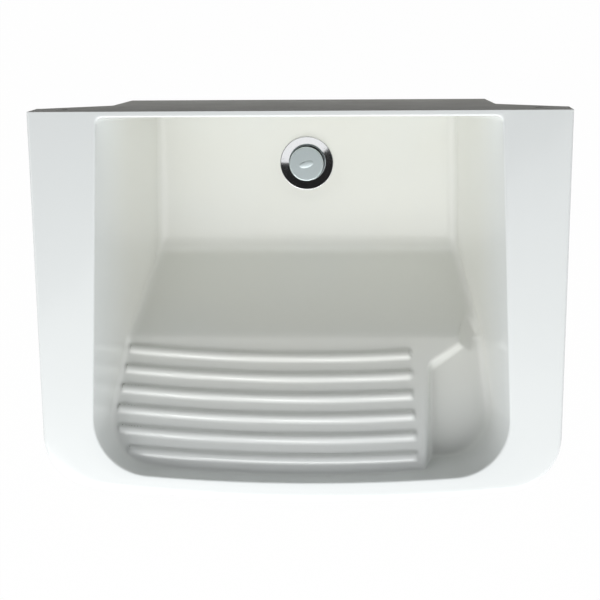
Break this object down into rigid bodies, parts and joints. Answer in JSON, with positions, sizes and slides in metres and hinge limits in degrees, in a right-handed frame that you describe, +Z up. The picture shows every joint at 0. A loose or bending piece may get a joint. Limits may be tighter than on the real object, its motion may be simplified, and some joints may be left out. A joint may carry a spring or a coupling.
{
  "type": "laundry tub",
  "caption": "White wall-hung laundry tub with a deep basin, a sloping ribbed washboard, a corner soap dish and a push-open waste whose raised cap closes the drain.",
  "frame": {"origin": "on the wall plane, midway between the two wall fixings", "axes": "+X to the right along the wall as seen by a person in front of the tub, +Y into the wall, +Z up; the front faces -Y"},
  "size_m": [0.6, 0.441, 0.257],
  "materials": {
    "gelcoat": "smooth white gel coat on cast resin",
    "chrome_plate": "polished",
    "satin_chrome": "satin",
    "black_rubber": "matt",
    "white_plastic": "moulded",
    "grey_plastic": "moulded",
    "spring_steel": "drawn wire",
    "raw_brass": "turned"
  },
  "bodies": {
    "tub": {"tub_basin": "gelcoat", "drain_flange": "chrome_plate", "flange_gasket": "black_rubber", "tapered_washer": "black_rubber", "slip_washer": "white_plastic", "lock_nut": "raw_brass", "cartridge_housing": "white_plastic", "cartridge_washer": "black_rubber", "end_cap": "white_plastic", "return_spring": "spring_steel"},
    "popup": {"popup_cap": "satin_chrome", "cap_seal": "black_rubber", "cap_stud": "raw_brass", "stud_nut": "raw_brass", "plunger": "white_plastic"},
    "rotor": {"index_rotor": "grey_plastic"}
  },
  "joints": [
    {"name": "popup_press", "type": "slide", "parent": "tub", "child": "popup", "axis": [0, 0, -1], "range_m": [0, 0.007], "stiffness_N_per_m": 400, "springref_m": -0.012, "deforming": ["return_spring"]},
    {"name": "rotor_index", "type": "hinge", "parent": "popup", "child": "rotor", "pos_m": [0, -0.075, -0.176], "axis": [0, 0, 1], "range_deg": [0, 45]}
  ],
  "couplings": [
    {"joint": "rotor_index", "follows": "popup_press", "rad_per_m": 112.2}
  ]
}
